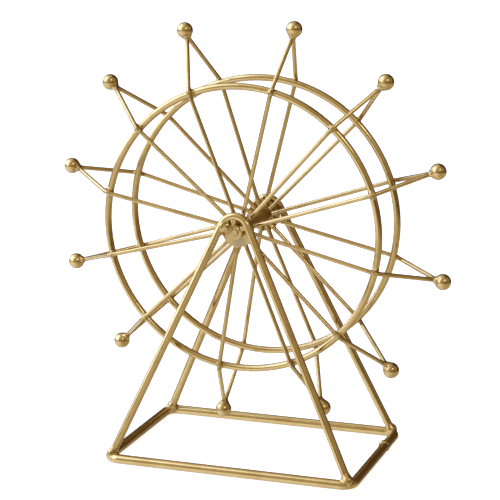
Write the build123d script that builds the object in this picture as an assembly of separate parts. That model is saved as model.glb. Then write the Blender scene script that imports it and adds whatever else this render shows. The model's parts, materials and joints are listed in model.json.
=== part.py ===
from build123d import *
import os
from math import asin, atan2, cos, hypot, radians, sin, tan

# A desk ornament: a ferris wheel of welded round wire that turns on a short axle between two wire frames.
# Millimetres. X runs along the front rail, +Y points from front to rear along the axle, +Z is up.
# The origin is on the surface that the base stands on, midway between the base's corners.

# ---- Driving dimensions ----

# wires and bars, by diameter
base_wire = 4.8
frame_wire = 4.0
ring_wire = 3.5
spoke_wire = 2.2
ball_diameter = 8.2
axle_diameter = 4.0

# stand
base_length = 132.0  # corner to corner along X, on the wire's centreline
base_width = 84.0  # corner to corner along Y, on the wire's centreline
base_bend = 6.0  # bend radius of the base's corners, on the centreline
foot_inset = 1.5  # how far inside the base's sharp corner each leg's line lands, along X and Y
foot_swelling = 0.6  # how much thicker than its wire a leg is where it is welded to the base, all round
seam_from_corner = 23.0  # the base's closing weld, in front of the rear right corner
seam_swelling = 0.35  # how much thicker than the wire the closing weld's bead is, all round
seam_rise = 0.4  # how far the bead's middle lies above the wire's centreline
seam_inwards = 0.25  # how far it lies inside that line

# nuts, welded into the frames' bends
nut_across_flats = 7.0
nut_thickness = 3.2
nut_face_land = 0.1  # how far a nut's face reaches beyond the circle inside its flats
nut_corner_rounding = 0.27  # how far the cones that round a nut's corners stand off them at mid thickness
bead_diameter = 2.4  # weld beads between a nut's upper side corners and the frame's bend
bend_rise = 0.9  # how far the middle of a frame's bend lies above the axle's axis, along the frame
axle_end = 0.8  # how far the axle stands out of a nut
axle_chamfer = 0.5

# wheel
ring_radius = 72.5  # on the ring wire's centreline
ring_spacing = 34.0  # between the two rings' centrelines
tip_reach = 30.5  # from the ring wire's centreline out to the balls' centres
spoke_meet = 3.1  # from a ball's centre in to the point where its two spokes' centrelines meet
ground_clearance = 15.3  # under a ball at the wheel's lowest point
barrel_wall = 1.425
barrel_length = 37.2
disc_diameter = 16.5
disc_thickness = 2.0

# clearances
running_gap = 0.075  # radial, between the axle and the barrel's bore
disc_bore_gap = 0.2  # radial, between the axle and the discs' bores
side_play = 0.6  # between a hub disc and the nut beside it
bend_play = 1.5  # between a hub disc and the frame's bend beside it
bend_gap = 1.5  # between a nut's corners and the inside of the frame's bend
weld_gap = 0.05  # left between two pieces that are welded together
thread_gap = 0.02  # radial, between the axle and a nut

# The balls stand a twelfth of a turn apart, but the wheel is made by hand: each ball is a little off its
# place, and each spoke crosses its ring a little off its ball's direction. Degrees, anticlockwise from +X
# seen from the front. tip_stretch is how much further out than its place each ball sits.
tip_count = 12
first_tip = 17.0
tip_drift = (1, -0.5, -0.5, 2.5, 0.75, -0.75, -1.75, -4.25, 3.5, 4.75, -1, -0.25)
tip_stretch = (-0.3, 0.1, -0.75, 0.4, 0.7, 0.35, 0.5, -1.25, 0.1, -0.25, 0.5, 0.5)
front_crossing_drift = (-0.5, 1, -1, 0.5, -0.5, 1.5, -1.5, 0.5, 0.5, 0.5, 0, 0)
rear_crossing_drift = (-0.5, -1, -0.5, -1, -1, -1, 1.5, -0.5, -0.5, 0.5, -1.5, -0.5)

# ---- Sizes that follow ----

tip_radius = ring_radius + tip_reach
axle_height = tip_radius + ball_diameter / 2 + ground_clearance
base_centre_height = base_wire / 2
axle_rise = axle_height - base_centre_height
barrel_bore = axle_diameter + 2 * running_gap
disc_bore = axle_diameter + 2 * disc_bore_gap
nut_bore = axle_diameter + 2 * thread_gap
nut_corner_radius = nut_across_flats / 2 / cos(radians(30))
frame_bend = nut_corner_radius + bend_gap + frame_wire / 2
disc_inner_face = barrel_length / 2
disc_outer_face = disc_inner_face + disc_thickness
nut_inner_face = disc_outer_face + side_play
nut_outer_face = nut_inner_face + nut_thickness
foot_x = base_length / 2 - foot_inset
foot_y = base_width / 2 - foot_inset

# A frame leans inwards from its feet, as far as the top of its bend can while the wire there keeps its play
# from the disc's face.
bend_top_depth = disc_outer_face + bend_play + frame_wire / 2
frame_lean = atan2(foot_y - bend_top_depth, axle_rise + bend_rise + frame_bend)
frame_half_gap = foot_y - axle_rise * tan(frame_lean)  # from the middle plane to a frame, at the axle
frame_slope = axle_rise / cos(frame_lean)  # from the axle to a foot's level, along the frame


# ---- Helpers ----


def swept_wire(path, diameter):
    """Round wire of one diameter along a smooth path."""
    section = Plane(origin=path @ 0, z_dir=path % 0) * Circle(diameter / 2)
    return sweep(section, path=path)


def along_axle(start, end, diameter):
    """A round bar along the axle's axis, from one Y to another."""
    middle = Pos(0, (start + end) / 2, axle_height)
    return middle * Rot(90, 0, 0) * Cylinder(diameter / 2, abs(end - start))


def to_rear(shape):
    """The rear twin of a front piece."""
    return mirror(shape, about=Plane.XZ)


def wheel_point(radius, angle, depth):
    """A point of the wheel: distance from the axle, direction in degrees, and Y."""
    return Vector(radius * cos(radians(angle)), depth, axle_height + radius * sin(radians(angle)))


# ---- Base ----


def make_base_loop():
    """The rectangular loop, with the bead of its closing weld standing proud on the top and inside."""
    outline = Pos(0, 0, base_centre_height) * RectangleRounded(base_length, base_width, base_bend)
    loop = swept_wire(outline.wire(), base_wire)
    seam_x = base_length / 2 - seam_inwards
    seam_y = base_width / 2 - seam_from_corner
    bead = Pos(seam_x, seam_y, base_centre_height + seam_rise) * Sphere(base_wire / 2 + seam_swelling)
    return loop + bead


def make_base_envelope():
    """The space of the base loop with the weld gap round it."""
    outline = Pos(0, 0, base_centre_height) * RectangleRounded(base_length, base_width, base_bend)
    return swept_wire(outline.wire(), base_wire + 2 * weld_gap)


# ---- A-frames ----


def frame_plane():
    """The front frame's own plane: origin on the axle's axis, x along +X, y up the frame's slope."""
    return Plane(
        origin=(0, -frame_half_gap, axle_height),
        x_dir=(1, 0, 0),
        z_dir=(0, -cos(frame_lean), sin(frame_lean)),
    )


def leg_angle():
    """Angle between a leg and the frame's middle line, for a leg tangent to the bend."""
    slope = frame_slope + bend_rise
    return atan2(foot_x, slope) - asin(frame_bend / hypot(foot_x, slope))


def make_front_frame():
    """One wire from foot to foot over the axle, saddled onto the base and beaded to the nut."""
    spread = leg_angle()
    shoulder_x = frame_bend * cos(spread)
    shoulder_y = bend_rise + frame_bend * sin(spread)
    top = bend_rise + frame_bend
    left_leg = Line((-foot_x, -frame_slope), (-shoulder_x, shoulder_y))
    bend = ThreePointArc((-shoulder_x, shoulder_y), (0, top), (shoulder_x, shoulder_y))
    right_leg = Line((shoulder_x, shoulder_y), (foot_x, -frame_slope))
    path = frame_plane() * Wire([left_leg, bend, right_leg])
    frame = swept_wire(path, frame_wire)

    # the swellings at the feet, centred where the leg meets the top of the base wire
    foot_lift = (base_wire - base_centre_height) / cos(frame_lean)
    for side in (-1, 1):
        foot_offset = side * (foot_x - foot_lift * tan(spread))
        foot = frame_plane().from_local_coords((foot_offset, foot_lift - frame_slope, 0))
        frame += Pos(foot) * Sphere(frame_wire / 2 + foot_swelling)

    # the beads at the nut's upper side corners
    bead_radius = nut_corner_radius + (bend_gap + bend_rise / 2) / 2
    for corner in (30, 150):
        frame += Pos(wheel_point(bead_radius, corner, -nut_outer_face)) * Sphere(bead_diameter / 2)

    frame -= make_base_envelope()
    frame -= nut_block(nut_across_flats + 2 * weld_gap, nut_thickness + 2 * weld_gap)
    return frame


# ---- Nuts and axle ----


def nut_block(across_flats, thickness):
    """A hexagonal block on the front nut's middle, one corner up."""
    corner_radius = across_flats / 2 / cos(radians(30))
    section = RegularPolygon(corner_radius, 6, rotation=30)
    block = extrude(section, amount=thickness / 2, both=True)
    nut_middle = (nut_inner_face + nut_outer_face) / 2
    return Pos(0, -nut_middle, axle_height) * Rot(90, 0, 0) * block


def make_front_nut():
    """A plain hex nut, its corners rounded off at both faces, with a smooth bore for the axle's end."""
    block = nut_block(nut_across_flats, nut_thickness)
    face_radius = nut_across_flats / 2 + nut_face_land
    middle_radius = nut_corner_radius + nut_corner_rounding
    from_middle = (Align.CENTER, Align.CENTER, Align.MIN)
    half = Cone(middle_radius, face_radius, nut_thickness / 2, align=from_middle)
    rounding = half + mirror(half, about=Plane.XY)
    nut_middle = (nut_inner_face + nut_outer_face) / 2
    placed = Pos(0, -nut_middle, axle_height) * Rot(90, 0, 0) * rounding
    bore = along_axle(-nut_outer_face - bend_play, -nut_inner_face + side_play, nut_bore)
    return (block & placed) - bore


def make_axle():
    """A plain rod through both nuts, chamfered at its ends."""
    end = nut_outer_face + axle_end
    rod = along_axle(-end, end, axle_diameter)
    return chamfer(rod.edges(), axle_chamfer)


# ---- Hub and rings ----


def make_hub_barrel():
    """The tube that runs on the axle."""
    tube = along_axle(-disc_inner_face, disc_inner_face, barrel_bore + 2 * barrel_wall)
    return tube - along_axle(-disc_outer_face, disc_outer_face, barrel_bore)


def make_front_disc():
    """The round plate that closes the barrel and carries the spokes' inner ends."""
    disc = along_axle(-disc_outer_face, -disc_inner_face, disc_diameter)
    return disc - along_axle(-nut_outer_face, 0, disc_bore)


def make_front_ring():
    """A hoop of round wire."""
    centre = Pos(0, -ring_spacing / 2, axle_height)
    return centre * Rot(90, 0, 0) * Torus(ring_radius, ring_wire / 2)


# ---- Spokes and balls ----


def spoke_profile(number):
    """A spoke in its radial plane, as (distance from the axle, distance from the middle plane).

    It leaves the disc's inner face at its rim, touches the ring's outer side, wraps over it and runs
    straight to its twin inside the ball. Returns the inner end and the corner where its two straights
    would meet.
    """
    seat = (disc_diameter / 2, disc_inner_face - spoke_wire / 2 - weld_gap)
    ring = (ring_radius, ring_spacing / 2)
    tip = (tip_distance(number) - spoke_meet, 0.0)
    wrap = spoke_wrap()
    inner_slope = tangent_slope(seat, ring, wrap)
    outer_slope = -tangent_slope((-tip[0], tip[1]), (-ring[0], ring[1]), wrap)
    seat_rise = seat[1] - inner_slope * seat[0]
    tip_rise = tip[1] - outer_slope * tip[0]
    corner_x = (tip_rise - seat_rise) / (inner_slope - outer_slope)
    corner_y = seat[1] + inner_slope * (corner_x - seat[0])
    start_x = spoke_start()
    start_y = seat[1] + inner_slope * (start_x - seat[0])
    return (start_x, start_y), (corner_x, corner_y)


def spoke_start():
    """Distance from the axle to the spokes' inner ends, where the closest two spokes nearly touch."""
    steps = []
    for drift in (front_crossing_drift, rear_crossing_drift):
        angles = [tip_angle(number) + drift[number] for number in range(tip_count)]
        angles.append(angles[0] + 360)
        steps += [after - before for before, after in zip(angles, angles[1:])]
    return (spoke_wire + weld_gap) / 2 / sin(radians(min(steps) / 2))


def spoke_wrap():
    """Radius of a spoke's bend over the ring wire, on the spoke's centreline."""
    return (ring_wire + spoke_wire) / 2 + 2 * weld_gap


def tangent_slope(point, centre, radius):
    """Slope of the line from a point that passes over a circle further along x and touches it."""
    across = centre[0] - point[0]
    up = centre[1] - point[1]
    return tan(atan2(up, across) + asin(radius / hypot(across, up)))


def tip_angle(number):
    """Direction of a ball, in degrees."""
    return first_tip + number * 360 / tip_count + tip_drift[number]


def tip_distance(number):
    """Distance from the axle to a ball's centre."""
    return tip_radius + tip_stretch[number]


def bent_wire(start, corner, end, bend, diameter):
    """Round wire along two straights that are joined by one bend."""
    inwards = (start - corner).normalized()
    outwards = (end - corner).normalized()
    half_angle = radians(inwards.get_angle(outwards)) / 2
    setback = bend / tan(half_angle)
    bisector = (inwards + outwards).normalized()
    bend_start = corner + inwards * setback
    bend_end = corner + outwards * setback
    bend_middle = corner + bisector * (bend / sin(half_angle) - bend)
    first = Line(start, bend_start)
    arc = ThreePointArc(bend_start, bend_middle, bend_end)
    last = Line(bend_end, end)
    return swept_wire(Wire([first, arc, last]), diameter)


def make_spoke(number, side, drift):
    """One spoke. side is -1 at the front and 1 at the rear."""
    start, corner = spoke_profile(number)
    tip = tip_angle(number)
    crossing = tip + drift[number]
    wire = bent_wire(
        wheel_point(start[0], crossing, side * start[1]),
        wheel_point(corner[0], crossing, side * corner[1]),
        wheel_point(tip_distance(number) - spoke_meet, tip, 0),
        spoke_wrap(),
        spoke_wire,
    )
    return wire - twin_space(number, side) - ball_at(number, ball_diameter + 2 * weld_gap)


def twin_space(number, side):
    """The space round a ball that belongs to the other spoke, from half a weld gap off the middle plane."""
    size = 2 * ball_diameter
    block = Pos(0, side * (weld_gap - size) / 2, 0) * Box(size, size, size)
    return Pos(wheel_point(tip_distance(number), tip_angle(number), 0)) * block


def ball_at(number, diameter):
    """A sphere of the given diameter at one tip of the wheel."""
    return Pos(wheel_point(tip_distance(number), tip_angle(number), 0)) * Sphere(diameter / 2)


# ---- Parts ----

parts = {
    "base_loop": make_base_loop(),
    "front_frame": make_front_frame(),
    "front_axle_nut": make_front_nut(),
    "axle": make_axle(),
    "hub_barrel": make_hub_barrel(),
    "front_hub_disc": make_front_disc(),
    "front_ring": make_front_ring(),
}
for front_name in ("front_frame", "front_axle_nut", "front_hub_disc", "front_ring"):
    parts[front_name.replace("front", "rear")] = to_rear(parts[front_name])
for number in range(tip_count):
    label = f"{number + 1:02d}"
    parts[f"front_spoke_{label}"] = make_spoke(number, -1, front_crossing_drift)
    parts[f"rear_spoke_{label}"] = make_spoke(number, 1, rear_crossing_drift)
    parts[f"tip_ball_{label}"] = ball_at(number, ball_diameter)

os.makedirs("parts", exist_ok=True)
for name, shape in parts.items():
    export_step(shape, f"parts/{name}.step")
    print(f"{name}: {shape.volume:.1f} mm3")
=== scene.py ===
# %% [markdown]
# # A ferris wheel of welded wire, in satin champagne gold
#
# The object is a desk ornament: two hoops, twenty-four thin spokes and twelve balls make a wheel that turns
# between two bent-wire frames. Its real shape comes from the packed frame, so this lesson adds what a maker
# would add after the wire is cut and bent: the weld metal at every joint, then the paint, then the light.

# %% Load the frame
import json
import math
import random

import bmesh
import bpy
import numpy as np
from mathutils import Matrix, Vector, noise


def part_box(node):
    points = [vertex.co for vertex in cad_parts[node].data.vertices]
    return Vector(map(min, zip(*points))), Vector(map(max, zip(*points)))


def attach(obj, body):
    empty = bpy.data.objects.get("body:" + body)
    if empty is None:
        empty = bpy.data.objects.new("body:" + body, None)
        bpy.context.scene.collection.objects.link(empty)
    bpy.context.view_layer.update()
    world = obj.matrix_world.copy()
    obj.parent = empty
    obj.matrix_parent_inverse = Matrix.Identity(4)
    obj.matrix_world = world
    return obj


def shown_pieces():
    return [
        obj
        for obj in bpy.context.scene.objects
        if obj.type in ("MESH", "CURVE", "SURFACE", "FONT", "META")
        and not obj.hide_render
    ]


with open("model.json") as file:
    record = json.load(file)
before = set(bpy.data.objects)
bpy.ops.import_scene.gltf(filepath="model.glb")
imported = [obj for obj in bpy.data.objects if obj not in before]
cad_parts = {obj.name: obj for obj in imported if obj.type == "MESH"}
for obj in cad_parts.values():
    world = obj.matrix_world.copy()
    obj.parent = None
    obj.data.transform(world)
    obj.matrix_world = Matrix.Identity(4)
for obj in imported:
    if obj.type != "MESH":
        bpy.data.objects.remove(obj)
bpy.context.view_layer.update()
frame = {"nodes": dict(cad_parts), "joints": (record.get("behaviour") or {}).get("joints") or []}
nodes = frame["nodes"]

# %% [markdown]
# ## Places, read from the frame
#
# Most places are measured on the loaded pieces. The axle's axis comes from the joint, a ball's centre is the
# middle of its box, and a ring's radius is half its box less half its wire. The few sizes that a box can't
# show, such as where a leg lands on the base, repeat the part's own driving dimensions.

# %% Read the places
MM = 0.001
numbers = range(1, 13)  # of the spokes and the balls
SIDES = {"front": -1, "rear": 1}
axle_point = Vector(frame["joints"][0]["pos_m"])


def middle(node):
    """The middle of a node's box."""
    low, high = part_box(node)
    return (low + high) / 2


def extent(node):
    """The size of a node's box."""
    low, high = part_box(node)
    return high - low


ring_wire = extent("front_ring").y
ring_radius = extent("front_ring").x / 2 - ring_wire / 2
disc_radius = extent("front_hub_disc").x / 2
disc_thickness = extent("front_hub_disc").y
ball_radius = extent("tip_ball_01").x / 2
nut_thickness = extent("front_axle_nut").y
base_wire = 4.8 * MM
frame_wire = 4.0 * MM
spoke_wire = 2.2 * MM
print(f"ring {ring_radius / MM:.1f}, ball {ball_radius / MM:.1f}, disc {disc_radius / MM:.2f} mm")

# %% [markdown]
# ## Weld metal
#
# On the real ornament each joint carries a small puddle of weld, which runs smoothly into both wires. A
# sphere pushed into the joint would leave hard creases. Here an icosphere starts at the joint, and each of
# its vertices slides out along its own ray to the surface of a smooth blend of the joined pieces. That is
# the idea of metaballs, but the blend knows the pieces' exact distances, so the metal always meets them.
#
# First come those distances, one small function for each kind of piece: a wire along a chain of points, a
# hoop, a round plate, a ball and a hexagonal nut. Each takes many places at once and returns how far they
# lie outside the piece, or inside it with a minus.

# %% Distances to the pieces


def wire(points, diameter):
    """Round wire along a chain of points."""
    chain = np.array([tuple(point) for point in points])
    starts = chain[:-1]
    runs = chain[1:] - starts
    lengths = (runs**2).sum(axis=1)

    def distance(places):
        offsets = places[:, None] - starts
        along = np.clip((offsets * runs).sum(axis=2) / lengths, 0, 1)
        nearest = offsets - along[..., None] * runs
        return np.sqrt((nearest**2).sum(axis=2)).min(axis=1) - diameter / 2

    return distance


def hoop(centre, radius, diameter, axis=1):
    """A closed hoop of round wire round one of the axes X, Y and Z."""

    def distance(places):
        offset = places - np.array(centre)
        height = offset[:, axis]
        across = np.sqrt(np.maximum((offset**2).sum(axis=1) - height**2, 0)) - radius
        return np.hypot(across, height) - diameter / 2

    return distance


def plate(centre, radius, thickness):
    """A round plate across the axle."""

    def distance(places):
        offset = places - np.array(centre)
        out = np.hypot(offset[:, 0], offset[:, 2]) - radius
        up = np.abs(offset[:, 1]) - thickness / 2
        return np.hypot(np.maximum(out, 0), np.maximum(up, 0)) + np.minimum(np.maximum(out, up), 0)

    return distance


def ball(centre, radius):
    """A ball."""
    return lambda places: np.sqrt(((places - np.array(centre)) ** 2).sum(axis=1)) - radius


def hex_nut(centre, flat, thickness):
    """A hexagonal nut on the axle, one corner up. flat is from its axis to a flat."""

    def distance(places):
        offset = places - np.array(centre)
        deepest = np.abs(offset[:, 1]) - thickness / 2
        for turn in (0, 60, 120):
            side = offset[:, 0] * math.cos(math.radians(turn)) + offset[:, 2] * math.sin(math.radians(turn))
            deepest = np.maximum(deepest, np.abs(side) - flat)
        return deepest

    return distance


def smooth_least(a, b, blend):
    """The smaller of two distances, rounded where they are nearly equal."""
    share = np.clip(0.5 + 0.5 * (b - a) / blend, 0, 1)
    return b + (a - b) * share - blend * share * (1 - share)


print("a point 5 mm off a 4 mm ball:", ball((0, 0, 0), 4.0)(np.array([[9.0, 0, 0]])))

# %% [markdown]
# The puddle is proud of the blend in its middle and sinks under the pieces' surfaces near its rim, so its
# edge feathers out. A little noise along the rays makes it lumpy, as metal that froze while it ran.

# %% One weld
random.seed(7)
MARCH = 36
HALVINGS = 7
FEATHER = 0.85
LOWEST = 0.15 * MM  # weld metal stays off the floor


def add_weld(mesh, centre, pieces, blend, reach, proud, lumps, fineness=4, wave=2.2):
    """Adds one puddle of weld metal to a bmesh.

    blend is the fillet's size, reach the puddle's radius, proud how far it stands off the pieces in its
    middle, and lumps the height of its unevenness, all in metres. wave is how many lumps it has.
    """
    made = bmesh.ops.create_icosphere(mesh, subdivisions=fineness, radius=1.0)["verts"]
    seed = Vector((random.random(), random.random(), random.random())) * 100
    rays = np.array([tuple(vertex.co.normalized()) for vertex in made])
    bumps = np.array([noise.noise(seed + Vector(ray) * wave) for ray in rays])
    start = np.array(tuple(centre))

    def height(lengths):
        """How far the rays' points stand above the weld's skin."""
        share = lengths / reach
        places = start + rays * lengths[:, None]
        least = pieces[0](places)
        for piece in pieces[1:]:
            least = smooth_least(least, piece(places), blend)
        skin = proud * (1 - share**2) - 1.6 * reach * np.maximum(0, share - FEATHER)
        return least - skin - lumps * bumps * (1 - np.minimum(1, share**2))

    # march out to where each ray first leaves the metal, then halve the last step
    step = 1.3 * reach / MARCH
    near = np.zeros(len(made))
    growing = np.ones(len(made), bool)
    for _ in range(MARCH):
        growing &= height(near + step) <= 0
        near = np.where(growing, near + step, near)
    far = near + step
    for _ in range(HALVINGS):
        half = (near + far) / 2
        inside = height(half) <= 0
        near = np.where(inside, half, near)
        far = np.where(inside, far, half)
    for vertex, ray, length in zip(made, rays, near):
        vertex.co = Vector(start + ray * length)
        vertex.co.z = max(vertex.co.z, LOWEST)


def weld_piece(name, body, welds):
    """Makes one piece out of many welds, and lets it ride on its body."""
    mesh = bmesh.new()
    for weld in welds:
        add_weld(mesh, **weld)
    data = bpy.data.meshes.new(name)
    mesh.to_mesh(data)
    mesh.free()
    data.polygons.foreach_set("use_smooth", [True] * len(data.polygons))
    piece = bpy.data.objects.new(name, data)
    bpy.context.scene.collection.objects.link(piece)
    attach(piece, body)
    print(f"{name}: {len(welds)} welds, {len(data.polygons)} faces")
    return piece


# %% [markdown]
# ## A spoke's line
#
# Each spoke leaves its hub disc, passes over the ring's outer side, wraps round it and runs to the ball. Its
# inner end is read from its mesh. The bend is centred on the ring's own wire, so its points follow from the
# directions of the two straight runs.

# %% Follow a spoke
WRAP = (ring_wire + spoke_wire) / 2 + 0.1 * MM
SPOKE_MEET = 3.1 * MM


def from_axle(point):
    """A point's distance from the axle."""
    return math.hypot(point.x - axle_point.x, point.z - axle_point.z)


def mean(points):
    """The middle of some points."""
    return sum(points, Vector()) / len(points)


def outwards(point):
    """The direction from the axle to a point, across the axle."""
    return Vector((point.x - axle_point.x, 0, point.z - axle_point.z)).normalized()


def spoke_line(side, number):
    """A spoke's centreline as five points, from its inner end over the ring to the ball."""
    points = [vertex.co for vertex in nodes[f"{side}_spoke_{number:02d}"].data.vertices]
    inner = min(from_axle(point) for point in points)
    end = mean([point for point in points if from_axle(point) < inner + 1.5 * MM])
    over = outwards(mean([point for point in points if abs(from_axle(point) - ring_radius) < 4 * MM]))
    place = middle(f"tip_ball_{number:02d}")
    tip = place - outwards(place) * SPOKE_MEET
    ring_point = axle_point + over * ring_radius
    ring_point.y = middle(f"{side}_ring").y
    away = Vector((0, SIDES[side], 0))
    normals = []
    for far in (end, tip):
        run = (far - ring_point).normalized()
        normals.append((away - run * away.dot(run)).normalized())
    first, last = normals
    bend = [ring_point + first.lerp(last, share).normalized() * WRAP for share in (0, 0.5, 1)]
    return [end, *bend, tip]


spoke_lines = {(side, number): spoke_line(side, number) for side in SIDES for number in numbers}
print("first front spoke:", [tuple(round(x / MM, 1) for x in place) for place in spoke_lines["front", 1]])

# %% Welds at the rings
for side in SIDES:
    centre = middle(f"{side}_ring")
    welds = []
    for number in numbers:
        line = spoke_lines[side, number]
        ring_point = axle_point + outwards(line[2]) * ring_radius
        ring_point.y = centre.y
        welds.append(
            dict(
                centre=ring_point + (line[2] - ring_point).normalized() * ring_wire * 0.52,
                pieces=(wire(line, spoke_wire), hoop(centre, ring_radius, ring_wire)),
                blend=random.uniform(1.2, 2.0) * MM,
                reach=random.uniform(3.0, 3.8) * MM,
                proud=random.uniform(0.03, 0.1) * MM,
                lumps=random.uniform(0.1, 0.3) * MM,
            )
        )
    weld_piece(f"{side}_ring_welds", "wheel", welds)

# %% Welds at the balls
welds = []
for number in numbers:
    place = middle(f"tip_ball_{number:02d}")
    lines = [wire(spoke_lines[side, number], spoke_wire) for side in SIDES]
    welds.append(
        dict(
            centre=place - outwards(place) * (ball_radius + 0.1 * MM),
            pieces=(*lines, ball(place, ball_radius)),
            blend=random.uniform(1.3, 1.9) * MM,
            reach=random.uniform(3.0, 3.6) * MM,
            proud=0.05 * MM,
            lumps=0.12 * MM,
        )
    )
weld_piece("tip_ball_welds", "wheel", welds)

# %% [markdown]
# At the hub the spokes' ends lie against the disc's inner face, side by side. Their weld runs along each
# end and over the disc's rim.

# %% Welds at the hub discs
# how far along a spoke from its inner end a puddle lies, and its radius, in millimetres
DISC_PUDDLES = ((0.4, 2.0), (2.0, 2.3))
for side in SIDES:
    disc = plate(middle(f"{side}_hub_disc"), disc_radius, disc_thickness)
    welds = []
    for number in numbers:
        line = spoke_lines[side, number]
        along = (line[1] - line[0]).normalized()
        for step, reach in DISC_PUDDLES:
            welds.append(
                dict(
                    centre=line[0] + along * step * MM,
                    pieces=(wire(line, spoke_wire), disc),
                    blend=random.uniform(0.9, 1.5) * MM,
                    reach=reach * MM,
                    proud=random.uniform(0.02, 0.12) * MM,
                    lumps=0.18 * MM,
                )
            )
    weld_piece(f"{side}_disc_welds", "wheel", welds)

# %% [markdown]
# ## The stand's lines
#
# The base is one loop of heavy wire with small bent corners. Each frame is one lighter wire from foot to
# foot, bent round the axle's nut. A leg is tangent to that bend, which gives its shoulder.

# %% Follow the base and the frames
BASE_HALF = Vector((66, 42)) * MM
BASE_BEND = 6.0 * MM
FOOT_INSET = 1.5 * MM
FOOT_BALL = frame_wire / 2 + 0.6 * MM
NUT_FLAT = 3.5 * MM
NUT_CORNER = NUT_FLAT / math.cos(math.radians(30))
BEND_GAP = 1.5 * MM
BEND_RISE = 0.9 * MM
FRAME_BEND = NUT_CORNER + BEND_GAP + frame_wire / 2
BEND_TOP_DEPTH = abs(middle("front_hub_disc").y) + disc_thickness / 2 + 1.5 * MM + frame_wire / 2
base_height = base_wire / 2


def arc(centre, radius, start, end, across, up, count):
    """Points on an arc, in the plane of two directions, between two angles in degrees."""
    angles = [math.radians(start + (end - start) * step / count) for step in range(count + 1)]
    return [centre + across * radius * math.cos(angle) + up * radius * math.sin(angle) for angle in angles]


def base_line():
    """The base loop's centreline, closed."""
    points = []
    for turn, (across, along) in enumerate(((1, 1), (-1, 1), (-1, -1), (1, -1))):
        reach = BASE_HALF - Vector((BASE_BEND, BASE_BEND))
        corner = Vector((across * reach.x, along * reach.y, base_height))
        points += arc(corner, BASE_BEND, 90 * turn, 90 * turn + 90, Vector((1, 0, 0)), Vector((0, 1, 0)), 4)
    return points + points[:1]


def frame_line(side):
    """A frame's centreline, from its left foot over the nut to its right foot, and its two feet."""
    depth = SIDES[side]
    foot = Vector((BASE_HALF.x - FOOT_INSET, depth * (BASE_HALF.y - FOOT_INSET), base_height))
    rise = axle_point.z - base_height
    lean = math.atan2(abs(foot.y) - BEND_TOP_DEPTH, rise + BEND_RISE + FRAME_BEND)
    across = Vector((1, 0, 0))
    up = Vector((0, -depth * math.sin(lean), math.cos(lean)))
    slope = rise / math.cos(lean) + BEND_RISE
    centre = Vector((0, foot.y, foot.z)) + up * slope
    spread = math.atan2(foot.x, slope) - math.asin(FRAME_BEND / math.hypot(foot.x, slope))
    turned = math.degrees(spread)
    bend = arc(centre, FRAME_BEND, 180 - turned, turned, across, up, 10)
    left = Vector((-foot.x, foot.y, foot.z))
    return [left, *bend, foot]


base = wire(base_line(), base_wire)
frame_lines = {side: frame_line(side) for side in SIDES}
print("front frame's top:", [round(x / MM, 1) for x in frame_lines["front"][6]])

# %% [markdown]
# A leg's foot is saddled over the base's bent corner, and its weld is the biggest on the object: it bulges
# outwards past the leg. The base's own loop is closed by a butt weld on the right-hand rail, a collar that
# was left unground.

# %% Welds at the feet and the base's seam
FOOT_BULGE = 1.9 * MM
FOOT_BULGE_OUT = 1.3 * MM
SEAM_FROM_CORNER = 23 * MM
SEAM_BEAD = 2.75 * MM
COLLAR_RADIUS = 2.2 * MM
COLLAR_WIRE = 1.3 * MM
welds = []
for side in SIDES:
    line = frame_lines[side]
    leg = wire(line, frame_wire)
    for foot, above in ((line[0], line[1]), (line[-1], line[-2])):
        rise = (above - foot).normalized()
        landing = foot + rise * base_wire / 2 / rise.z
        outer = Vector((math.copysign(1, foot.x), math.copysign(1, foot.y), 0)).normalized()
        bulge = ball(landing + outer * FOOT_BULGE_OUT, FOOT_BULGE)
        welds.append(
            dict(
                centre=landing,
                pieces=(base, leg, ball(landing, FOOT_BALL), bulge),
                blend=random.uniform(0.9, 1.4) * MM,
                reach=random.uniform(4.6, 5.2) * MM,
                proud=0.06 * MM,
                lumps=0.3 * MM,
                wave=1.8,
            )
        )
weld_piece("foot_welds", "stand", welds)

seam = Vector((BASE_HALF.x - 0.25 * MM, BASE_HALF.y - SEAM_FROM_CORNER, base_height + 0.4 * MM))
collar = Vector((BASE_HALF.x - 0.2 * MM, seam.y - 0.5 * MM, base_height + 0.15 * MM))
weld_piece(
    "seam_weld",
    "stand",
    [
        dict(
            centre=seam,
            pieces=(base, ball(seam, SEAM_BEAD), hoop(collar, COLLAR_RADIUS, COLLAR_WIRE)),
            blend=0.7 * MM,
            reach=4.4 * MM,
            proud=0.08 * MM,
            lumps=0.4 * MM,
            fineness=5,
            wave=3.0,
        )
    ],
)

# %% Welds at the nuts
# a corner's direction, then its weld's blend, reach, proud and lumps in millimetres
CORNER_WELDS = ((150, 2.4, 4.4, 0.95, 0.5), (96, 1.4, 2.9, 0.25, 0.4), (30, 1.2, 2.9, 0.15, 0.4))
NUT_BEAD = 1.2 * MM
BEAD_OUT = NUT_CORNER + (BEND_GAP + BEND_RISE / 2) / 2
for side, depth in SIDES.items():
    centre = middle(f"{side}_axle_nut")
    nut = hex_nut(centre, NUT_FLAT, nut_thickness)
    bend = wire(frame_lines[side], frame_wire)
    welds = []
    for corner, blend, reach, proud, lumps in CORNER_WELDS:
        angle = math.radians(corner)
        bead = centre + Vector((math.cos(angle), 0, math.sin(angle))) * BEAD_OUT
        bead.y += depth * nut_thickness / 2
        welds.append(
            dict(
                centre=bead,
                pieces=(bend, nut, ball(bead, NUT_BEAD)),
                blend=blend * MM,
                reach=reach * MM,
                proud=proud * MM,
                lumps=lumps * MM,
                wave=2.6,
            )
        )
    weld_piece(f"{side}_nut_welds", "stand", welds)

# %% [markdown]
# ## Shader maths
#
# A finish is easier to read as a formula than as a net of nodes. Signal wraps one socket of a node tree.
# Python's operators on it add Math nodes, and its method node adds any other node.

# %% Signal


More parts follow.
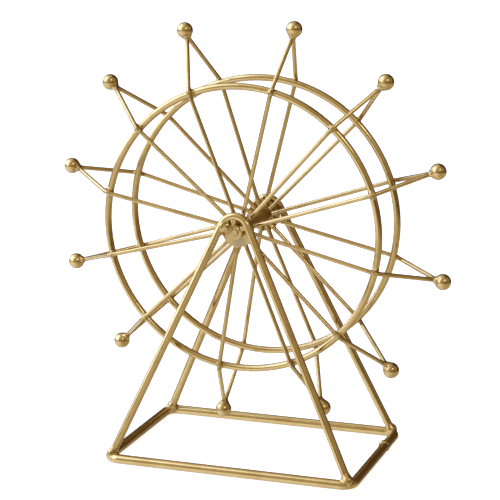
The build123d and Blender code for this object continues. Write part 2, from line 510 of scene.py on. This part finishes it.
class Signal:
    """One socket of a node tree. Operators add Math nodes, and node adds any other node."""

    def __init__(self, tree, socket=None):
        self.tree = tree
        self.socket = socket

    def node(self, kind, settings=None, values=None, output=0):
        """Adds a node with its own settings, then its sockets' values or links. Returns one output."""
        made = self.tree.nodes.new(kind)
        for name, setting in (settings or {}).items():
            setattr(made, name, setting)
        for name, value in (values or {}).items():
            if isinstance(value, Signal):
                self.tree.links.new(value.socket, made.inputs[name])
            else:
                made.inputs[name].default_value = value
        return None if output is None else Signal(self.tree, made.outputs[output])

    def math(self, operation, *values):
        """A Math node on some numbers."""
        return self.node("ShaderNodeMath", {"operation": operation}, dict(enumerate(values)))

    def __add__(self, other):
        return self.math("ADD", self, other)

    __radd__ = __add__

    def __mul__(self, other):
        return self.math("MULTIPLY", self, other)

    __rmul__ = __mul__

    def __sub__(self, other):
        return self.math("SUBTRACT", self, other)

    def __rsub__(self, other):
        return self.math("SUBTRACT", other, self)

    def __abs__(self):
        return self.math("ABSOLUTE", self)

    def most(self, other):
        """The larger of two values."""
        return self.math("MAXIMUM", self, other)

    def rise(self, start, end):
        """0 below start, 1 above end, and a smooth step between them."""
        settings = {"interpolation_type": "SMOOTHSTEP"}
        return self.node("ShaderNodeMapRange", settings, {"Value": self, "From Min": start, "From Max": end})

    def fall(self, start, end):
        """1 below start, 0 above end."""
        return 1 - self.rise(start, end)

    def blend(self, low, high):
        """A colour between two colours, by this value."""
        colours = {0: self, 6: low, 7: high}
        for key in (6, 7):
            if not isinstance(colours[key], Signal):
                colours[key] = (*colours[key], 1)
        return self.node("ShaderNodeMix", {"data_type": "RGBA"}, colours, output=2)

    def part(self, axis):
        """X, Y or Z of a vector."""
        return self.node("ShaderNodeSeparateXYZ", None, {"Vector": self}, output=axis)

    def vector(self, operation, other, output=0):
        """A Vector Math node."""
        return self.node("ShaderNodeVectorMath", {"operation": operation}, {0: self, 1: other}, output)

    def noise(self, scale, detail=2.0, roughness=0.5, stretch=None):
        """Noise over a place, between 0 and 1. scale is in waves per metre."""
        place = self.vector("MULTIPLY", stretch) if stretch else self
        values = {"Vector": place, "Scale": scale, "Detail": detail, "Roughness": roughness}
        return self.node("ShaderNodeTexNoise", None, values)


print("a Signal has", len([name for name in vars(Signal) if not name.startswith("_")]), "named methods")

# %% [markdown]
# ## Paint
#
# The whole ornament is sprayed with one champagne gold: fine metal flakes in a clear binder. Such paint
# shines like metal, but its highlight is broad and creamy. Sprayed on thin wire it isn't even: it has an
# orange-peel skin with waves of about 1.5 mm, a finer grain of flakes, clouds where it lies thicker and
# browner, and a few specks. Where pieces rub or the coat is thin on an edge, it is greyer and duller.
#
# One function mixes that finish, and each piece of the ornament gets its own recipe. The colour's slow
# clouds, the flakes and the peel are separate layers, and a piece's recipe turns its peel and specks up or
# down.

# %% Paint recipe
PALE_GOLD = (0.71, 0.495, 0.185)
DEEP_GOLD = (0.53, 0.35, 0.11)
# the browner gold: random tone on the welds, painted shade at the spokes' joints and on the barrel
BROWN_AND_PAINTED_SHADE_GOLD = (0.30, 0.185, 0.062)
GREY_GOLD = (0.43, 0.345, 0.205)
FLAKE_GOLD = (0.84, 0.66, 0.34)
CLOUD_RANGE = (0.2075, 0.62)
# heights of the layers' waves, in metres
SKIN_HEIGHT = 6e-6
RIPPLE_HEIGHT = 0.9e-6
FLAKE_HEIGHT = 0.1e-6
SPECK_HEIGHT = 9e-6
DRAWN_HEIGHT = 1.2e-6
RUBBED_DEPTH = 7e-6
COAT_WEIGHT = 0.12
COAT_ROUGHNESS = 0.25


def gold_paint(name, sheen, peel=1.0, dust=0.5, wear=None, shade=None, lines=None):
    """Champagne gold paint.

    sheen is the middle roughness; peel and dust scale those layers. wear and shade are
    functions from the place on the piece to a mask: where the paint is rubbed grey, and where it is browner.
    That browner paint is random tone on the welds, thicker paint and painted shade at the spokes' joints,
    painted shade on the barrel, and a browner lower end on the legs.
    lines gives a direction-stretched grain, for a surface that was drawn or turned before it was painted.
    """
    material = bpy.data.materials.new(name)
    material.use_nodes = True
    shader = material.node_tree.nodes["Principled BSDF"]
    start = Signal(material.node_tree)
    place = start.node("ShaderNodeTexCoord", output="Object")

    slow = place.noise(85, 2)
    patches = place.noise(330, 3, 0.6)
    flakes = place.noise(5200, 2, 0.7)
    skin = place.noise(620, 2, 0.45)
    ripples = place.noise(1500, 3, 0.55)
    specks = place.noise(1150, 1).rise(0.70, 0.78)

    clouds = slow * 0.55 + patches * 0.45
    colour = clouds.rise(*CLOUD_RANGE).blend(DEEP_GOLD, PALE_GOLD)
    colour = (flakes.rise(0.35, 0.75) * 0.22).blend(colour, FLAKE_GOLD)
    rough = sheen + (slow - 0.5) * 0.08 + (patches - 0.5) * 0.10 + (flakes - 0.5) * 0.08
    bump = skin * SKIN_HEIGHT * peel + ripples * RIPPLE_HEIGHT * peel
    bump = bump + flakes * FLAKE_HEIGHT + specks * SPECK_HEIGHT * dust
    if lines:
        drawn = place.noise(900, 3, 0.6, stretch=lines)
        bump = bump + drawn * DRAWN_HEIGHT
        rough = rough + (drawn - 0.5) * 0.12
    # browner where the shade mask says: random tone on the welds, painted shade at the spokes' joints and on
    # the barrel
    if shade:
        brown = shade(place)
        colour = (brown * (patches * 0.6 + 0.45)).blend(colour, BROWN_AND_PAINTED_SHADE_GOLD)
        rough = rough + brown * 0.07
    if wear:
        rubbed = wear(place) * place.noise(1900, 4, 0.7).rise(0.30, 0.62)
        colour = rubbed.blend(colour, GREY_GOLD)
        rough = rough + rubbed * 0.22
        bump = bump - rubbed * place.noise(3300, 3, 0.6) * RUBBED_DEPTH
    normal = start.node("ShaderNodeBump", None, {"Strength": 1.0, "Distance": 1.0, "Height": bump})

    links = material.node_tree.links
    for socket, value in (("Base Color", colour), ("Roughness", rough), ("Normal", normal)):
        links.new(value.socket, shader.inputs[socket])
    shader.inputs["Metallic"].default_value = 1.0
    shader.inputs["Coat Weight"].default_value = COAT_WEIGHT
    shader.inputs["Coat Roughness"].default_value = COAT_ROUGHNESS
    return material


def paint(material, names):
    """Gives a finish to CAD nodes and new pieces."""
    for name in names:
        piece = bpy.data.objects[name]
        if not piece.material_slots:
            piece.data.materials.append(material)
        piece.material_slots[0].material = material


# %% [markdown]
# ## Where the paint differs
#
# The masks below are distances in the object's own coordinates. At the spokes' joints with the ring, the
# balls and the hub the paint lies thicker and browner, and painted shade darkens the creases there. The
# barrel carries painted shade, darkest towards the discs, and the legs are browner towards their feet. The
# hub discs were rubbed by the nuts' faces and by fingers below the axle, and the nuts' corners and the
# axle's ends lost some paint to the spanner.

# %% Masks


def radius_on(place):
    """Distance from the axle's axis, on a place in the object's coordinates."""
    offset = place.vector("SUBTRACT", tuple(axle_point)).vector("MULTIPLY", (1, 0, 1))
    return offset.node("ShaderNodeVectorMath", {"operation": "LENGTH"}, {0: offset}, output="Value")


def near(place, spot, reach):
    """1 at a spot and 0 beyond a distance from it."""
    distance = place.vector("DISTANCE", tuple(spot), output="Value")
    return distance.fall(0.35 * reach, reach)


def spoke_thick_paint_and_painted_shade(place):
    """Browner at the ring, at the ball and at the hub: thicker paint there, and painted shade in the joints'
    creases.
    """
    radius = radius_on(place)
    ring = abs(radius - ring_radius).fall(1.5 * MM, 4.5 * MM)
    tip = radius.rise(95 * MM, 98 * MM)
    hub = radius.fall(9 * MM, 14 * MM)
    return ring.most(tip).most(hub) * 0.55


def weld_shade(place):
    """Brown in patches all over a weld."""
    return place.noise(420, 3, 0.6).rise(0.42, 0.66) * 0.6


def foot_shade(place):
    """Brown towards a leg's foot."""
    return place.part("Z").fall(4 * MM, 12 * MM) * 0.35


WORN_SPOT = axle_point + Vector((1.2, 0, -5.6)) * MM
WORN_REACH = 5.2 * MM
disc_face = abs(middle("front_hub_disc").y) + disc_thickness / 2


def disc_wear(place):
    """Rubbed in a ring round the nut and in a patch under the axle."""
    radius = radius_on(place)
    ring = radius.rise(3.2 * MM, 4.2 * MM) * radius.fall(4.8 * MM, 6.2 * MM)
    rim = radius.rise(7.9 * MM, 8.2 * MM)
    front_spot, rear_spot = [WORN_SPOT + Vector((0, depth * disc_face, 0)) for depth in SIDES.values()]
    front_rub = near(place, front_spot, WORN_REACH)
    rear_rub = near(place, rear_spot, WORN_REACH)
    return (ring * 0.25).most(front_rub * 0.9).most(rear_rub * 0.6).most(rim * 0.35)


def nut_wear(place):
    """Rubbed at the corners."""
    return radius_on(place).rise(3.62 * MM, 3.95 * MM) * 0.5


def axle_wear(place):
    """Rubbed on the ends."""
    return abs(place.part("Y")).rise(23.8 * MM, 25.0 * MM) * 0.1


def barrel_painted_shade(place):
    """Painted shade between the discs: browner all over the barrel, and most towards the discs."""
    return abs(place.part("Y")).rise(9 * MM, 18 * MM) * 0.5 + 0.35


# %% Paint every piece
spokes = [f"{side}_spoke_{number:02d}" for side in SIDES for number in numbers]
balls = [f"tip_ball_{number:02d}" for number in numbers]
paint(gold_paint("base_paint", 0.15, peel=1.2, dust=0.35), ["base_loop"])
paint(gold_paint("frame_paint", 0.145, peel=1.0, shade=foot_shade), ["front_frame", "rear_frame"])
paint(gold_paint("ring_paint", 0.155, peel=0.8, dust=0.4), ["front_ring", "rear_ring"])
paint(gold_paint("spoke_paint", 0.155, peel=0.7, dust=0.4, shade=spoke_thick_paint_and_painted_shade), spokes)
paint(gold_paint("ball_paint", 0.19, peel=0.5, dust=0.3), balls)
paint(gold_paint("hub_disc_paint", 0.26, peel=1.2, wear=disc_wear), ["front_hub_disc", "rear_hub_disc"])
paint(gold_paint("barrel_paint", 0.27, peel=0.8, shade=barrel_painted_shade, lines=(1, 0.05, 1)), ["hub_barrel"])
nuts = ["front_axle_nut", "rear_axle_nut"]
paint(gold_paint("nut_paint", 0.22, peel=1.0, wear=nut_wear, lines=(1, 0.1, 1)), nuts)
paint(gold_paint("axle_paint", 0.22, peel=0.6, wear=axle_wear, lines=(0.1, 1, 0.1)), ["axle"])
welded = ["front_ring_welds", "rear_ring_welds", "tip_ball_welds", "front_disc_welds", "rear_disc_welds"]
welded += ["foot_welds", "seam_weld", "front_nut_welds", "rear_nut_welds"]
paint(gold_paint("weld_paint", 0.19, peel=1.4, dust=0.6, shade=weld_shade), welded)
bare = [piece.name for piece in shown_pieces() if not piece.data.materials[0].name.endswith("_paint")]
print("pieces without a finish:", bare)

# %% [markdown]
# ## Floor, camera and light
#
# The photograph was cut out on white. The floor is a plain pale sheet that glows a little, so that it stays
# white and only a soft shadow shows. It isn't seen in the gold: there the room's own lower half is seen.

# %% Floor
FLOOR_HALF_WIDTH = 8.0
FLOOR_WHITE = (0.9, 0.9, 0.9)
FLOOR_GLOW = 0.75
mesh = bmesh.new()
bmesh.ops.create_grid(mesh, x_segments=1, y_segments=1, size=FLOOR_HALF_WIDTH)
data = bpy.data.meshes.new("floor")
mesh.to_mesh(data)
mesh.free()
floor = bpy.data.objects.new("floor", data)
bpy.context.scene.collection.objects.link(floor)
floor.visible_glossy = False
floor_paint = bpy.data.materials.new("floor_white")
floor_paint.use_nodes = True
shader = floor_paint.node_tree.nodes["Principled BSDF"]
shader.inputs["Base Color"].default_value = (*FLOOR_WHITE, 1)
shader.inputs["Roughness"].default_value = 0.9
shader.inputs["Emission Color"].default_value = (1, 1, 1, 1)
shader.inputs["Emission Strength"].default_value = FLOOR_GLOW
floor.data.materials.append(floor_paint)
print("floor:", 2 * FLOOR_HALF_WIDTH, "m wide")

# %% Camera
CAMERA_AIM = Vector((-0.00096, -0.00008, 0.10796))
CAMERA_DISTANCE = 0.8981
CAMERA_AZIMUTH = math.radians(20.216)
CAMERA_ELEVATION = math.radians(13.319)
CAMERA_ROLL = math.radians(-0.744)
CAMERA_SENSOR = 36.0
CAMERA_LENS = 125.8
camera_data = bpy.data.cameras.new("camera")
camera_data.sensor_width = CAMERA_SENSOR
camera_data.lens = CAMERA_LENS
camera = bpy.data.objects.new("camera", camera_data)
bpy.context.scene.collection.objects.link(camera)
turn = (
    Matrix.Rotation(CAMERA_AZIMUTH, 4, "Z")
    @ Matrix.Rotation(math.pi / 2 - CAMERA_ELEVATION, 4, "X")
    @ Matrix.Rotation(CAMERA_ROLL, 4, "Z")
)
camera.matrix_world = Matrix.Translation(CAMERA_AIM + turn @ Vector((0, 0, CAMERA_DISTANCE))) @ turn
bpy.context.scene.camera = camera
print("camera at", [round(x, 3) for x in camera.matrix_world.translation])

# %% [markdown]
# ## The room in the gold
#
# Gold paint shows the room more than itself. The photograph's balls and wires tell what stood round it: a
# large cool softbox at the left, a pale table, a dim room in front and on the right, a dark corner behind on
# the right, and one small lamp above the right front. The world below paints that room by direction, each
# area a soft-edged mask. A ray from the camera sees plain white instead.

# %% World
world = bpy.data.worlds.new("studio")
world.use_nodes = True
bpy.context.scene.world = world
world.node_tree.nodes.clear()
room = Signal(world.node_tree)
direction = room.node("ShaderNodeTexCoord", output="Generated")
up = direction.part("Z")


def towards(azimuth, elevation=0.0):
    """How much the direction agrees with one direction: 1 along it, -1 against it. Degrees, from +X."""
    turned, raised = math.radians(azimuth), math.radians(elevation)
    aim = (math.cos(turned) * math.cos(raised), math.sin(turned) * math.cos(raised), math.sin(raised))
    return direction.vector("DOT_PRODUCT", aim, output="Value")


def lamp(azimuth, elevation, sharpness):
    """A round soft light, 1 in its middle."""
    away = (towards(azimuth, elevation) - 1) * sharpness
    return away.math("EXPONENT", away)


DIM_ROOM = (0.34, 0.27, 0.17)
FRONT_ROOM = (0.55, 0.50, 0.37)
FAR_WALL = (0.15, 0.108, 0.06)
RIGHT_CEILING = (0.34, 0.28, 0.19)
LEFT_CEILING = (1.25, 1.35, 1.6)
SOFTBOX = (1.75, 2.1, 3.3)
RIGHT_TABLE = (0.56, 0.53, 0.46)
LEFT_TABLE = (1.12, 1.20, 1.50)
DARK_CORNER = (0.10, 0.062, 0.028)
RIGHT_GLOW = (0.55, 0.50, 0.42)
FRONT_LAMP = (7.0, 7.6, 9.5)

leftness = towards(-165).rise(-0.5, 0.9)
sky = towards(-110).rise(0.0, 0.95).blend(DIM_ROOM, FRONT_ROOM)
horizon = abs(up + 0.02).fall(0.03, 0.22) * towards(-20).rise(-0.35, 0.5)
sky = horizon.blend(sky, FAR_WALL)
sky = up.rise(0.70, 0.88).blend(sky, leftness.blend(RIGHT_CEILING, LEFT_CEILING))
softbox = towards(148).rise(-0.05, 0.02) * towards(-120).rise(-0.05, 0.05) * up.rise(0.02, 0.12)
sky = (softbox * up.fall(0.82, 0.92)).blend(sky, SOFTBOX)
table_light = leftness.blend(RIGHT_TABLE, LEFT_TABLE)
sky = (leftness * 0.12 - up).rise(0.10, 0.46).blend(sky, table_light)
corner = towards(56, 26).rise(0.66, 0.86)
shadow = towards(111, -12).rise(0.72, 0.86)
sky = corner.most(shadow).blend(sky, DARK_CORNER)
sky = (lamp(12, 30, 14) * 0.6).blend(sky, RIGHT_GLOW)
sky = lamp(-46, 36, 260).blend(sky, FRONT_LAMP)
seen = room.node("ShaderNodeLightPath", output="Is Camera Ray").blend(sky, (1.0, 1.0, 1.0))
light = room.node("ShaderNodeBackground", None, {"Color": seen, "Strength": 1.0})
room.node("ShaderNodeOutputWorld", None, {"Surface": light}, output=None)
bpy.context.scene.view_settings.view_transform = "Standard"
